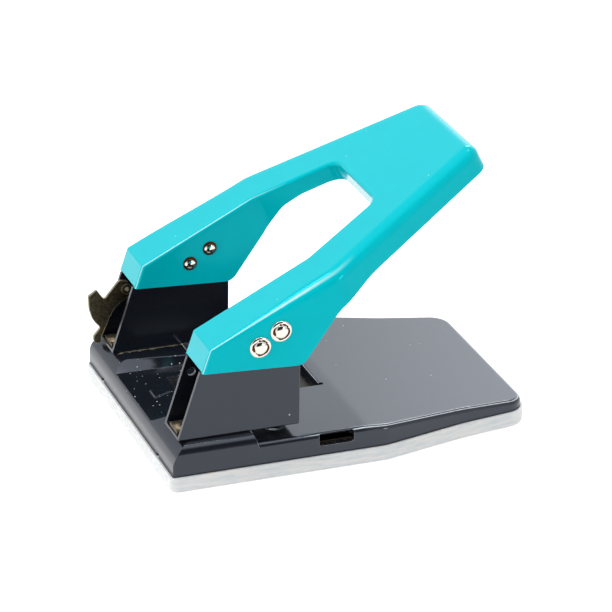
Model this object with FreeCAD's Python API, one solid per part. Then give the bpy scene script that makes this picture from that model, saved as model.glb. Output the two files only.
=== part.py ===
"""Hand two-hole paper punch: pressed steel base, two punch heads, forked lever.

Millimetres, +Z up, the front (open side, where paper goes in) towards -Y.
Depths are measured forwards from the rear edge of the base, so a depth d lies
at y = rear_y - d. Heights are measured from the table top it stands on.
"""
import FreeCAD
import Part

import math
import os

from FreeCAD import Vector

# ---- punching ------------------------------------------------------------
hole_spacing = 80.0           # centre to centre, the standard two-hole pattern
punch_x = hole_spacing / 2
punch_radius = 3.0
punch_depth = 43.3
running_clearance = 0.05      # radial, shafts that turn or slide in holes
press_degrees = 36.0          # travel of the lever

# ---- base, pressed from one sheet ----------------------------------------
base_sheet = 1.0              # thickness of the base's steel
side_margin = 12.3            # base's edge beyond the punch's middle
base_half_width = punch_x + side_margin
base_length = 145.6
straight_side = 84.0          # depth where the sides start to draw in
side_bend_radius = 14.0       # of the outline there
waist_depth = 118.0           # depth of the soft bend in the tapered side
waist_draw_in = 7.8
waist_half_width = base_half_width - waist_draw_in
waist_radius = 90.0
front_draw_in = 11.7
front_half_width = base_half_width - front_draw_in
front_corner_radius = 8.0
rear_corner_radius = 0.7
skirt_bottom = 3.0            # height of the skirt's lower edge, inside the tray
table_height = 14.5
platform_bend_gap = 5.6       # from the gauge forwards to where the platform starts to slope down
platform_bend_radius = 40.0
platform_front_height = 9.8   # height of the platform at its front edge
rim_radius = 2.0              # round along the top of the side walls
rear_radius = 8.0             # large round along the top of the rear wall

# ---- the two raised ledges that carry the brackets -----------------------
ledge_height = 18.0
ledge_foot_inset = 18.6       # from the punch's middle, as are the next two
ledge_foot_x = punch_x - ledge_foot_inset  # foot of the ledge's inner side
crown_rear_inset = 13.2
ledge_crown_rear_x = punch_x - crown_rear_inset  # top of that side, which flattens out to the rear
crown_front_inset = 18.2
ledge_crown_front_x = punch_x - crown_front_inset
ledge_crown_radius = 0.8
ledge_side_radius = 4.6
ledge_stop_depth = 31.8       # top of the paper stop
ledge_stop_slope = 1.1        # how much further forward its foot is
ledge_stop_radius = 1.2

# ---- window, centre mark and slots in the base ---------------------------
window_half_width = 12.5
window_rear = 18.5
window_front_gap = 1.3        # from the gauge forwards to the window's front end
relief_size = 1.8             # notches at the ends of the window's bend line
flange_foot = 9.8             # height of the lower edge of the window's bent-down lip
lip_edge_radius = 0.3
mark_half_width = 3.75        # raised triangle that marks the middle
mark_rear = 8.7
mark_front = 17.0
mark_rise = 0.5
mark_corner_radius = 0.5
mark_draft = 0.4              # how far its top is drawn in
notch_inset = 6.0
notch_x = punch_x - notch_inset  # snap notches in the rear skirt
notch_width = 2.2
notch_top = 7.3

# ---- pivot and drive -----------------------------------------------------
pivot_setback = 9.2           # behind the punch's middle
pivot_depth = punch_depth - pivot_setback
pivot_height = 52.65
drive_reach = 9.57            # pivot centre to drive centre
drive_degrees = 33.6          # angle of that line above level, lever up
rivet_shank_radius = 2.0
rivet_head_radius = 4.15
rivet_head_height = 1.7
rivet_tail_radius = 2.8
rivet_tail_height = 1.3
drive_clearance = 0.35        # round the drive rivet in the bracket's open slot
crosshead_clearance = 0.22    # round the drive rivet in the punch's head

# ---- brackets ------------------------------------------------------------
bracket_half_width = 7.9
bracket_sheet = 1.2
bracket_rear = 3.1
bracket_reach = 7.2           # in front of the punch's middle
bracket_front = punch_depth + bracket_reach
bracket_bend_radius = 0.6
shoulder_overhang = 0.2005    # of the bracket's shoulder, behind the arm's rear corner
bracket_corner_radius = 0.5
bracket_foot_radius = 1.0     # at its front, over the paper throat
shoulder_drop = 7.65          # below the pivot
shoulder_height = pivot_height - shoulder_drop  # the lever's rear end comes to rest here
shoulder_gap = 0.4            # between shoulder or ears and the lever's sheet
ear_front_rise = 4.35
ear_front_height = pivot_height + ear_front_rise
ear_front_radius = 2.5
ear_crown_setback = 3.1
ear_crown_depth = pivot_depth - ear_crown_setback
ear_crown_rise = 6.55
ear_crown_height = pivot_height + ear_crown_rise
ear_crown_radius = 6.0

# ---- lever, drawn from one sheet -----------------------------------------
lever_sheet = 1.1
arm_half_width = 10.0         # each arm, about its punch's middle
lever_rear_setback = 19.17    # behind the pivot
lever_rear_depth = pivot_depth - lever_rear_setback  # upper rear fold of the arms
lever_rear_rise = 1.35
lever_rear_height = pivot_height + lever_rear_rise
lever_degrees = 26.93         # slope of the flat top
arm_end_setback = 22.2
arm_end_depth = pivot_depth - arm_end_setback  # lower rear corner of the arms
arm_end_drop = 7.75
arm_end_height = pivot_height - arm_end_drop
web_foot_drop = 7.25
web_foot_height = pivot_height - web_foot_drop  # lower edge of the arms' rear webs, above the shoulders
cheek_front_reach = 17.1
cheek_front_depth = pivot_depth + cheek_front_reach  # lower front corner of the cheeks
cheek_front_drop = 9.75
cheek_front_height = pivot_height - cheek_front_drop
cheek_front_radius = 5.0
neck_along = 48.8             # where the cheek's front edge runs out into the handle's wall
neck_wall = 14.8              # depth of the side there
neck_radius = 20.0
wall_start = 66.0             # along the slope, where the wall gets its even depth
wall_start_extra = 0.6
wall_start_radius = 40.0
taper_start = 53.5            # along the slope, where the sides draw in
taper_rate = 0.336            # sideways per mm along the slope
taper_bend_radius = 16.0
opening_taper_rate = 0.297    # the same, for the sides of the opening
lever_length = 126.3          # along the slope, rear fold to the tip
handle_wall = 10.8            # depth of the handle's turned-down side
opening_wall = 7.2            # depth of the turned-down edge round the opening
opening_edge = ((46.5, 16.1, 0), (58.2, 8.8, 10.0), (66.5, opening_wall, 14.0))  # its run from the arms
opening_edge_front_gap = 6.0  # where it deepens again, behind the opening's front end
opening_edge_front_extra = 1.6
opening_edge_front_radius = 10.0
trim_reach = 0.6              # how far the cut along that edge passes its sheet
opening_front = 83.5          # along the slope, front end of the opening
opening_bend = 50.0           # along the slope, where the opening narrows
opening_bend_radius = 12.0
tip_radius = 6.2
tip_foot_radius = 1.0
opening_radius = 5.5
fold_radius = 1.3             # outside of the folds at the arms' rear ends and round the opening
tip_fold_radius = 4.5         # the outer fold grows to this at the handle's tip

# ---- punches and springs -------------------------------------------------
punch_tip_gap = 0.4           # between the cutting end and the bracket's underside
crosshead_radius = 4.8
crosshead_height = 7.0        # its middle is level with the drive rivet
crosshead_chamfer = 0.4
tip_hollow_depth = 0.9        # hollow ground across the cutting end
washer_thickness = 0.8
washer_overhang = 0.4         # beyond the crosshead
washer_clearance = 0.1
guide_sheet = 1.2
guide_bend_radius = 0.5       # inside of its two bends
guide_setback = 1.0           # its rear end, in front of the bracket's
guide_top = 34.0
guide_shoulder = 4.0          # how far behind the riser the leg widens
guide_leg_half_width = 4.3
guide_head_half_width = 6.2
riser_setback = 11.8          # behind the punch's middle
guide_riser_depth = punch_depth - riser_setback
guide_reach = 6.0
guide_front = punch_depth + guide_reach
spring_wire = 0.9
spring_mean_radius = 4.2
spring_turns = 7.5
spring_wire_sides = 8         # flats that stand for the wire's round section
die_thickness = 1.6
die_half_width = 8.0
die_half_length = 9.0
die_corner_radius = 2.0
die_land = 0.8                # depth of the cutting hole, before it widens
chip_clearance = 0.4          # round the punch in the table and below the die's land

# ---- fasteners of the brackets -------------------------------------------
rear_rivet_depth = 6.6
front_rivet_setback = 6.5     # behind the guide's riser
foot_rivet_depths = (rear_rivet_depth, guide_riser_depth - front_rivet_setback)
foot_rivet_radius = 1.6
foot_rivet_head_radius = 2.9
foot_rivet_head_height = 1.1
shank_overlap = 0.4           # how far a rivet's shank reaches into its heads

# ---- latch ---------------------------------------------------------------
latch_sheet = 1.1
latch_gap = 0.15              # between the latch and the bracket's wall
latch_pivot_depth = 13.3
latch_rivet_drop = 6.5        # below the bracket's shoulder
latch_pivot_height = shoulder_height - latch_rivet_drop
latch_rivet_radius = 1.6
latch_rim_radius = 2.2
latch_rim_height = 0.45
latch_bore_radius = 0.85
latch_eye_radius = 3.4        # round the rivet
latch_foot_drop = 1.1         # of the tail's end, below the ledge's top
latch_outline = (             # in front of the rivet, above it, radius
    (0.2, 4.9, latch_eye_radius), (-3.4, 3.3, 1.5), (-9.0, -3.4, 0.9), (-12.0, 1.1, 0.3),
    (-15.5, -1.3, 1.2), (-15.2, -6.5, 9.0), (-13.9, -11.3, 9.0), (-10.7, -15.1, 0.9),
    (-13.7, -18.7, 2.0), (-13.1, -21.6, 1.3), (-10.7, -21.6, 0.9), (-10.0, -18.5, 6.0),
    (-6.7, -10.9, 9.0), (-4.3, -6.9, 9.0), (3.1, -2.3, latch_eye_radius))

# ---- paper gauge ---------------------------------------------------------
gauge_reach = 14.1            # its rear edge, in front of the punch's middle
gauge_rear = punch_depth + gauge_reach
gauge_width = 13.0
gauge_thickness = 0.8
gauge_bottom = 10.4
gauge_tab_height = 17.5
gauge_tab_gap = 0.15          # between the tab and the base's side wall
gauge_end_gap = 0.3           # between its inner end and the base's left wall
gauge_end_ears = 0.8          # how much wider the retained inner end is, each side
gauge_ear_length = 2.0
gauge_tab_radius = 3.0
slot_margin = 0.4
slot_under_gap = 0.7          # below the bar
slot_top = 14.3
slot_corner_radius = 0.8
bridge_sheet = 0.9
bridge_width = 3.2
bridge_side_gap = 0.45        # beside the bar
bridge_under_gap = 0.15
bridge_foot = 2.6
bridge_bend_radius = 0.3

# ---- chip tray -----------------------------------------------------------
tray_overhang = 1.0           # beyond the base's skirt, all round
tray_rim_height = 5.95
tray_floor = 1.2
tray_clearance = 0.15
tray_step_width = 1.3         # inner step that the skirt stands on
tray_rear_radius = 3.0
tray_edge_radius = 0.9
seat_gap = 0.1                # below the skirt
rib_clearance = 0.2           # beside the snap ribs in their notches
rib_depth = 0.7

# ---- worked-out places ---------------------------------------------------
latch_overhang = 2.16         # how far the latch's hook reaches behind the base
rear_y = (base_length + tray_overhang - latch_overhang) / 2   # centres the whole length on the origin
drive_angle = math.radians(drive_degrees)
press_angle = math.radians(press_degrees)
lever_slope = math.radians(lever_degrees)
lever_down = Vector(0, -math.sin(lever_slope), -math.cos(lever_slope))
drive_depth = pivot_depth + drive_reach * math.cos(drive_angle)
drive_height = pivot_height + drive_reach * math.sin(drive_angle)
drive_farthest = pivot_depth + drive_reach
gauge_front = gauge_rear + gauge_width
window_front = gauge_front + window_front_gap
platform_bend = gauge_front + platform_bend_gap
punch_tip_height = ledge_height + punch_tip_gap
crosshead_foot = drive_height - crosshead_height / 2
crosshead_top = drive_height + crosshead_height / 2
overrun = 4.0                 # how far cutting tools run past what they cut
wide = 120.0                  # tools that only limit other directions


# ---- drawing helpers -----------------------------------------------------
def on_side(depth, height):
    return Vector(0, rear_y - depth, height)


def on_plan(x, depth):
    return Vector(x, rear_y - depth, 0)


def on_section(x, height):
    return Vector(x, 0, height)


def on_lever(x, along):
    """A point on the lever's flat top, at a distance along its slope."""
    depth = lever_rear_depth + along * math.cos(lever_slope)
    height = lever_rear_height + along * math.sin(lever_slope)
    return Vector(x, rear_y - depth, height)


def lever_point(along, below):
    """Depth and height of a point under the lever's top, square to it."""
    depth = lever_rear_depth + along * math.cos(lever_slope) + below * math.sin(lever_slope)
    height = lever_rear_height + along * math.sin(lever_slope) - below * math.cos(lever_slope)
    return depth, height


def rounded_wire(corners, place):
    """Closed wire through (a, b, radius) corners, each rounded by its radius."""
    joints = []
    count = len(corners)
    for index, (a, b, radius) in enumerate(corners):
        here = Vector(a, b, 0)
        before = Vector(*corners[index - 1][:2], 0) - here
        after = Vector(*corners[(index + 1) % count][:2], 0) - here
        before.normalize()
        after.normalize()
        if radius <= 0:
            joints.append((here, None, here))
            continue
        half = before.getAngle(after) / 2
        inwards = before + after
        inwards.normalize()
        centre = here + inwards * (radius / math.sin(half))
        reach = radius / math.tan(half)
        joints.append((here + before * reach, centre - inwards * radius, here + after * reach))
    edges = []
    for index, (start, middle, end) in enumerate(joints):
        if middle is not None:
            arc = Part.Arc(*(place(p.x, p.y) for p in (start, middle, end)))
            edges.append(arc.toShape())
        following = joints[(index + 1) % count][0]
        if end.distanceToPoint(following) > 1e-6:
            edges.append(Part.LineSegment(place(end.x, end.y), place(following.x, following.y)).toShape())
    return Part.Wire(edges)


def prism(corners, place, start, sweep):
    """Solid with a rounded outline, pushed along sweep from start."""
    solid = Part.Face(rounded_wire(corners, place)).extrude(sweep)
    solid.translate(start)
    return solid


def side_prism(corners, x_low=-wide, x_high=wide):
    return prism(corners, on_side, Vector(x_low, 0, 0), Vector(x_high - x_low, 0, 0))


def plan_prism(corners, z_low, z_high):
    return prism(corners, on_plan, Vector(0, 0, z_low), Vector(0, 0, z_high - z_low))


def section_prism(corners, depth_low, depth_high):
    length = depth_high - depth_low
    return prism(corners, on_section, Vector(0, rear_y - depth_high, 0), Vector(0, length, 0))


def drawn_in(corners, amounts):
    """The outline with each side moved inwards; the radii follow. One amount, or one per side."""
    count = len(corners)
    if not isinstance(amounts, (list, tuple)):
        amounts = [amounts] * count
    pairs = [(corners[i - 1], corners[i]) for i in range(count)]
    doubled_area = sum(first[0] * second[1] - second[0] * first[1] for first, second in pairs)
    turn = 1 if doubled_area > 0 else -1
    sides = []
    for index in range(count):
        ax, ay = corners[index][:2]
        bx, by = corners[(index + 1) % count][:2]
        length = math.hypot(bx - ax, by - ay)
        ux, uy = (bx - ax) / length, (by - ay) / length
        shift = turn * amounts[index]
        sides.append((ax - uy * shift, ay + ux * shift, ux, uy))
    moved = []
    for index, (_, _, radius) in enumerate(corners):
        px, py, pu, pv = sides[index - 1]
        qx, qy, qu, qv = sides[index]
        cross = pu * qv - pv * qu
        along = ((qx - px) * qv - (qy - py) * qu) / cross
        change = min(amounts[index - 1], amounts[index])
        if radius > 0:
            radius = radius - change if turn * cross > 0 else radius + change
        moved.append((px + along * pu, py + along * pv, max(radius, 0)))
    return moved


def box(x_low, x_high, depth_low, depth_high, z_low, z_high):
    corner = Vector(x_low, rear_y - depth_high, z_low)
    return Part.makeBox(x_high - x_low, depth_high - depth_low, z_high - z_low, corner)


def upright(x, depth, radius, z_low, z_high):
    return Part.makeCylinder(radius, z_high - z_low, Vector(x, rear_y - depth, z_low))


def crosswise(x_low, x_high, depth, height, radius):
    """Round bar or hole along X."""
    return Part.makeCylinder(radius, x_high - x_low, Vector(x_low, rear_y - depth, height), Vector(1, 0, 0))


def domed(base_radius, height):
    """Shallow round cap standing on the XY plane, made by turning its arc."""
    sphere_radius = (base_radius ** 2 + height ** 2) / (2 * height)
    half_angle = math.asin(base_radius / sphere_radius) / 2
    top = Vector(0, 0, height)
    sagitta = sphere_radius * (1 - math.cos(half_angle))
    middle = Vector(sphere_radius * math.sin(half_angle), 0, height - sagitta)
    rim = Vector(base_radius, 0, 0)
    edges = [Part.Arc(top, middle, rim).toShape(), Part.LineSegment(rim, Vector()).toShape(),
             Part.LineSegment(Vector(), top).toShape()]
    return Part.Face(Part.Wire(edges)).revolve(Vector(), Vector(0, 0, 1), 360)


def facing_x(shape, x, depth, height, direction):
    """Turns a shape that stands on XY so that it stands out along +X or -X."""
    shape.rotate(Vector(), Vector(0, 1, 0), 90 * direction)
    shape.translate(Vector(x, rear_y - depth, height))
    return shape


# ---- base ----------------------------------------------------------------
def base_outline(rear=0, rear_radius_in_plan=rear_corner_radius):
    """Plan of the base as (x, depth, radius) corners."""
    right = [(base_half_width, rear, rear_radius_in_plan),
             (base_half_width, straight_side, side_bend_radius),
             (waist_half_width, waist_depth, waist_radius),
             (front_half_width, base_length, front_corner_radius)]
    left = [(-x, depth, radius) for x, depth, radius in reversed(right)]
    return right + left


def table_form(inset):
    """Table and sloping platform, with the round along the side and front walls."""
    foot = skirt_bottom - 2 * inset
    fall = (table_height - platform_front_height) / (base_length - platform_bend)
    end = base_length + overrun
    profile = [(-overrun, foot, 0), (-overrun, table_height, 0),
               (platform_bend, table_height, platform_bend_radius),
               (end, table_height - fall * (end - platform_bend), 0), (end, foot, 0)]
    form = plan_prism(drawn_in(base_outline(-overrun, 0), inset), foot, table_height + overrun)
    form = form.common(side_prism(drawn_in(profile, [0, inset, inset, 0, 0])))
    rim = []
    for edge in form.Edges:
        middle = edge.valueAt((edge.FirstParameter + edge.LastParameter) / 2)
        on_top = min(v.Z for v in edge.Vertexes) > platform_front_height - 2 * rim_radius
        lengthwise = abs(middle.x) > front_half_width - front_corner_radius
        across_front = rear_y - middle.y > base_length - front_corner_radius
        if on_top and (lengthwise or across_front):
            rim.append(edge)
    return form.makeFillet(rim_radius - inset, rim)


def ledge_section(depth, inset, side):
    """Section across a ledge: rounded outside; its inner side flattens out to the rear."""
    foot = skirt_bottom - 2 * inset
    growth = (ledge_crown_front_x - ledge_crown_rear_x) / ledge_stop_depth
    section = [(ledge_foot_x, foot, 0), (base_half_width, foot, 0),
               (base_half_width, ledge_height, ledge_side_radius),
               (ledge_crown_rear_x + growth * depth, ledge_height, ledge_crown_radius),
               (ledge_foot_x, table_height, 0)]
    section = drawn_in(section, [0, inset, inset, inset, inset])
    wire = rounded_wire([(side * x, z, radius) for x, z, radius in section], on_section)
    wire.translate(Vector(0, rear_y - depth, 0))
    return wire


def ledge_form(inset, side):
    """Raised ledge at one side, with a sloped paper stop in front."""
    foot = skirt_bottom - 2 * inset
    stop_foot = ledge_stop_depth + ledge_stop_slope * (ledge_height - foot) / (ledge_height - table_height)
    profile = [(-overrun, foot, 0), (-overrun, ledge_height, 0),
               (ledge_stop_depth, ledge_height, ledge_stop_radius), (stop_foot, foot, 0)]
    profile = drawn_in(profile, [0, inset, inset, 0])
    end = ledge_stop_depth + 2 * ledge_stop_slope
    ends = [ledge_section(0, inset, side), ledge_section(end, inset, side)]
    return Part.makeLoft(ends, True, True).common(side_prism(profile))


def base_form(inset):
    """Outer form of the base, or with an inset the hollow under its sheet."""
    form = table_form(inset)
    for side in (-1, 1):
        form = form.fuse(ledge_form(inset, side))
    rear = [(0, -wide, 0), (0, ledge_height, rear_radius), (2 * wide, ledge_height, 0), (2 * wide, -wide, 0)]
    form = form.common(side_prism(drawn_in(rear, inset)))
    return form.common(plan_prism(drawn_in(base_outline(), inset), 0, ledge_height + overrun))


def window_opening():
    """Window in the table; in front it takes in the notches beside the bent-down lip."""
    return box(-window_half_width, window_half_width, window_rear, window_front + relief_size,
               0, table_height + overrun)


def window_lip():
    """Lip bent down at the window's front end; it also guides the gauge bar."""
    half = window_half_width - relief_size
    corners = [(window_front, flange_foot, lip_edge_radius), (window_front, table_height, base_sheet),
               (window_front + relief_size, table_height, 0),
               (window_front + relief_size, table_height - base_sheet, 0),
               (window_front + base_sheet, table_height - base_sheet, 0),
               (window_front + base_sheet, flange_foot, lip_edge_radius)]
    return side_prism(corners, -half, half)


def centre_mark():
    """Raised triangle that points forwards along the middle of the table."""
    def triangle(inset, height):
        places = [(-mark_half_width, mark_rear), (mark_half_width, mark_rear), (0, mark_front)]
        corners = [(x, depth, mark_corner_radius) for x, depth in places]
        wire = rounded_wire(drawn_in(corners, inset), on_plan)
        wire.translate(Vector(0, 0, height))
        return wire
    foot = triangle(0, table_height - mark_rise)
    knee = triangle(0, table_height)
    crown = triangle(mark_draft, table_height + mark_rise)
    lower = Part.makeLoft([foot, knee], True)
    return lower.fuse(Part.makeLoft([knee, crown], True))


def gauge_slot(side):
    """Slot in a side wall for the gauge bar; its top edge is square to the rim's round."""
    rear, front = gauge_rear - slot_margin, gauge_front + slot_margin
    foot = gauge_bottom - slot_under_gap
    places = [(rear, foot), (front, foot), (front, slot_top), (rear, slot_top)]
    opening = side_prism([(depth, height, slot_corner_radius) for depth, height in places])
    round_x, round_z = base_half_width - rim_radius, table_height - rim_radius
    rise = math.asin((slot_top - round_z) / rim_radius)
    far_x, far_z = round_x + overrun * math.cos(rise), round_z + overrun * math.sin(rise)
    beyond = base_half_width + overrun
    wedge = [(round_x, 0), (beyond, 0), (beyond, far_z), (far_x, far_z), (round_x, round_z)]
    return opening.common(section_prism([(side * x, z, 0) for x, z in wedge], 0, base_length))


def base_plate():
    plate = base_form(0).cut(base_form(base_sheet))
    plate = plate.cut(window_opening()).fuse(window_lip()).fuse(centre_mark())
    for side in (-1, 1):
        x = side * punch_x
        chip_hole = upright(x, punch_depth, punch_radius + chip_clearance, 0, table_height + overrun)
        plate = plate.cut(chip_hole)
        for depth in foot_rivet_depths:
            plate = plate.cut(upright(x, depth, foot_rivet_radius, table_height, ledge_height + overrun))
        plate = plate.cut(gauge_slot(side))
        notch = side * notch_x
        plate = plate.cut(box(notch - notch_width / 2, notch + notch_width / 2, -overrun,
                              2 * base_sheet, 0, notch_top))
    return plate.removeSplitter()


# ---- brackets ------------------------------------------------------------
def lever_underside(depth, gap):
    """Height of the underside of the lever's top at a depth, less a gap."""
    rise = (depth - lever_rear_depth) * math.tan(lever_slope)
    return lever_rear_height + rise - (lever_sheet + gap) / math.cos(lever_slope)


def bracket_profile():
    """Side view of a bracket: leaning rear edge, shoulder, ears up to the pivot."""
    shoulder_rear = arm_end_depth - shoulder_overhang
    lean = (lever_rear_depth - arm_end_depth) / (lever_rear_height - arm_end_height)
    wall = (lever_sheet + shoulder_gap) * math.hypot(1, lean)
    shoulder_front = arm_end_depth + lean * (shoulder_height - arm_end_height) + wall
    neck_height = lever_rear_height - lever_sheet - shoulder_gap
    neck_depth = arm_end_depth + lean * (neck_height - arm_end_height) + wall
    neck_height = min(neck_height, lever_underside(neck_depth, shoulder_gap))
    return [(bracket_rear, ledge_height, bracket_corner_radius),
            (bracket_front, ledge_height, bracket_foot_radius),
            (bracket_front, ear_front_height, ear_front_radius),
            (ear_crown_depth, ear_crown_height, ear_crown_radius),
            (neck_depth, neck_height, bracket_corner_radius),
            (shoulder_front, shoulder_height, bracket_corner_radius),
            (shoulder_rear, shoulder_height, bracket_corner_radius)]


def bracket(side):
    """U channel, its web on the ledge, its front over the paper throat."""
    x = side * punch_x
    tall = ear_crown_height + overrun
    outer = [(x - bracket_half_width, ledge_height, bracket_bend_radius),
             (x + bracket_half_width, ledge_height, bracket_bend_radius),
             (x + bracket_half_width, tall, 0), (x - bracket_half_width, tall, 0)]
    inner = drawn_in(outer, [bracket_sheet, bracket_sheet, -overrun, bracket_sheet])
    channel = section_prism(outer, 0, bracket_front + overrun)
    channel = channel.cut(section_prism(inner, -overrun, bracket_front + wide))
    shape = channel.common(side_prism(bracket_profile()))
    low, high = x - bracket_half_width - 1, x + bracket_half_width + 1
    shape = shape.cut(crosswise(low, high, pivot_depth, pivot_height, rivet_shank_radius + running_clearance))
    shape = shape.cut(drive_slot(low, high))
    shape = shape.cut(crosswise(x, high, latch_pivot_depth, latch_pivot_height, latch_rivet_radius))
    floor = ledge_height + 2 * bracket_sheet
    shape = shape.cut(upright(x, punch_depth, punch_radius + running_clearance, table_height, floor))
    for depth in foot_rivet_depths:
        shape = shape.cut(upright(x, depth, foot_rivet_radius, table_height, floor))
    return shape.removeSplitter()


def drive_slot(x_low, x_high):
    """Open-topped slot in the ears, as wide as the drive rivet's arc needs."""
    around = rivet_shank_radius + drive_clearance
    lowest = pivot_height + drive_reach * math.sin(drive_angle - press_angle)
    rear = drive_depth - around
    front = drive_farthest + around
    half = (front - rear) / 2
    foot = lowest - around
    corners = [(rear, foot, half * 0.98), (front, foot, half * 0.98),
               (front, ear_crown_height + overrun, 0), (rear, ear_crown_height + overrun, 0)]
    return side_prism(corners, x_low, x_high)


def guide(side):
    """Z-bent strip on the bracket's web; its upper leg steadies the punch."""
    x = side * punch_x
    floor = ledge_height + bracket_sheet
    rear = bracket_rear + guide_setback
    riser = guide_riser_depth
    inside, outside = guide_bend_radius, guide_bend_radius + guide_sheet
    corners = [(rear, floor, 0), (riser, floor, outside), (riser, guide_top - guide_sheet, inside),
               (guide_front, guide_top - guide_sheet, 0), (guide_front, guide_top, 0),
               (riser - guide_sheet, guide_top, outside),
               (riser - guide_sheet, floor + guide_sheet, inside), (rear, floor + guide_sheet, 0)]
    strip = side_prism(corners, x - guide_head_half_width, x + guide_head_half_width)
    narrow = guide_leg_half_width
    wide_half = guide_head_half_width + 1
    shoulder = riser - guide_sheet - guide_shoulder
    for edge in (-1, 1):
        inner, outer = x + edge * narrow, x + edge * wide_half
        strip = strip.cut(box(min(inner, outer), max(inner, outer), 0, shoulder, 0, guide_top))
    strip = strip.cut(upright(x, punch_depth, punch_radius + running_clearance, floor, guide_top + 1))
    for depth in foot_rivet_depths:
        strip = strip.cut(upright(x, depth, foot_rivet_radius, 0, guide_top / 2 + floor / 2))
    return strip


def die(side):
    """Hardened plate under the table; its hole widens below the cutting edge."""
    x = side * punch_x
    top = table_height - base_sheet
    low, high = x - die_half_width, x + die_half_width
    rear, front = punch_depth - die_half_length, punch_depth + die_half_length
    places = [(low, rear), (high, rear), (high, front), (low, front)]
    corners = [(across, depth, die_corner_radius) for across, depth in places]
    plate = plan_prism(corners, top - die_thickness, top)
    plate = plate.cut(upright(x, punch_depth, punch_radius + running_clearance, 0, table_height))
    return plate.cut(upright(x, punch_depth, punch_radius + chip_clearance, 0, top - die_land))


def foot_rivet(side, depth, hollow):
    """Rivet through ledge, bracket web and guide leg."""
    x = side * punch_x
    under = ledge_height - base_sheet
    over = ledge_height + bracket_sheet + guide_sheet
    shank = upright(x, depth, foot_rivet_radius, under - shank_overlap, over + shank_overlap)
    head = domed(foot_rivet_head_radius, foot_rivet_head_height)
    head.translate(Vector(x, rear_y - depth, over))
    tail = domed(foot_rivet_head_radius, foot_rivet_head_height)
    tail.rotate(Vector(), Vector(1, 0, 0), 180)
    tail.translate(Vector(x, rear_y - depth, under))
    return shank.fuse(head).fuse(tail.common(hollow))


def foot_rivets():
    """The four rivets; their formed ends follow the underside of the sheet."""
    hollow = base_form(base_sheet)
    rivets = [foot_rivet(side, depth, hollow) for side in (-1, 1) for depth in foot_rivet_depths]
    return Part.makeCompound(rivets)


# ---- lever ---------------------------------------------------------------
def lever_profile():
    """Side view of the lever as (depth, height, radius) corners."""
    neck = lever_point(neck_along, neck_wall)
    handle = lever_point(wall_start, handle_wall + wall_start_extra)
    tip_foot = lever_point(lever_length, handle_wall)
    tip_top = lever_point(lever_length, 0)
    return [(arm_end_depth, arm_end_height, 0),
            (cheek_front_depth, cheek_front_height, cheek_front_radius),
            (*neck, neck_radius), (*handle, wall_start_radius), (*tip_foot, tip_foot_radius),
            (*tip_top, 0), (lever_rear_depth, lever_rear_height, 0)]


def fork_outline():
    """Lever seen square to its top, as (x, along, radius) corners."""
    outer = punch_x + arm_half_width
    inner = punch_x - arm_half_width
    behind = -arm_half_width * 2
    tip_half = outer - taper_rate * (lever_length - taper_start)
    opening_half = inner - opening_taper_rate * (opening_front - opening_bend)
    right = [(inner, behind, 0), (outer, behind, 0), (outer, taper_start, taper_bend_radius),
             (tip_half, lever_length, tip_radius)]
    left = [(-x, along, radius) for x, along, radius in reversed(right)]
    return right + left + [(-inner, opening_bend, opening_bend_radius),
                           (-opening_half, opening_front, opening_radius),
                           (opening_half, opening_front, opening_radius),
                           (inner, opening_bend, opening_bend_radius)]


def lever_form(inset):
    """Filled form of the lever, drawn in by inset; open below when it is a cavity."""
    low = -overrun if inset else 0
    profile = drawn_in(lever_profile(), [low, low, low, low, inset, inset, inset])
    fork = Part.Face(rounded_wire(drawn_in(fork_outline(), inset), on_lever)).extrude(lever_down * 2 * wide)
    fork.translate(lever_down * -overrun)
    right = fork.common(side_prism(profile, 0, wide))
    outer, others = fold_edges(right)
    right = right.makeFillet(fold_radius - inset, others)
    outer, others = fold_edges(right)
    right = right.makeFillet(tip_fold_radius - inset, fold_radius - inset, outer[:1])
    return right.fuse(right.mirror(Vector(), Vector(1, 0, 0)))


def fold_edges(form):
    """Edges of the flat top on the outer side, and the other edges that are folds."""
    top = min(form.Vertexes, key=lambda vertex: vertex.Point.dot(lever_down)).Point.dot(lever_down)
    outer = []
    others = []
    for edge in form.Edges:
        ends = [vertex.Point for vertex in edge.Vertexes]
        middle = edge.valueAt((edge.FirstParameter + edge.LastParameter) / 2)
        if max(abs(point.x) for point in ends) < 1:
            continue
        if max(point.dot(lever_down) for point in ends) < top + 0.01:
            along = (middle - on_lever(0, 0)).dot(on_lever(0, 1) - on_lever(0, 0))
            arm_middle = punch_x - taper_rate * max(along - opening_bend, 0)
            beyond = middle.x > arm_middle + 1 or along > (opening_front + lever_length) / 2
            (outer if beyond and along > 1 else others).append(edge)
        elif len(ends) == 2 and abs(ends[0].x - ends[1].x) < 0.01 and middle.y > on_lever(0, 2).y:
            others.append(edge)
    return outer, others


def opening_trim():
    """What is cut away below the turned-down edge round the opening."""
    inner = punch_x - arm_half_width
    reach = lever_sheet + 1.0
    start = opening_edge[0][0]
    bend, end = opening_front - opening_edge_front_gap, opening_front + 2 * reach
    run = [*opening_edge, (bend, opening_wall, opening_edge_front_radius),
           (end, opening_wall + opening_edge_front_extra, 0), (end, wide / 2, 0), (start, wide / 2, 0)]
    profile = [(*lever_point(along, below), radius) for along, below, radius in run]
    return side_prism(profile, -inner - reach, inner + reach)


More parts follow.
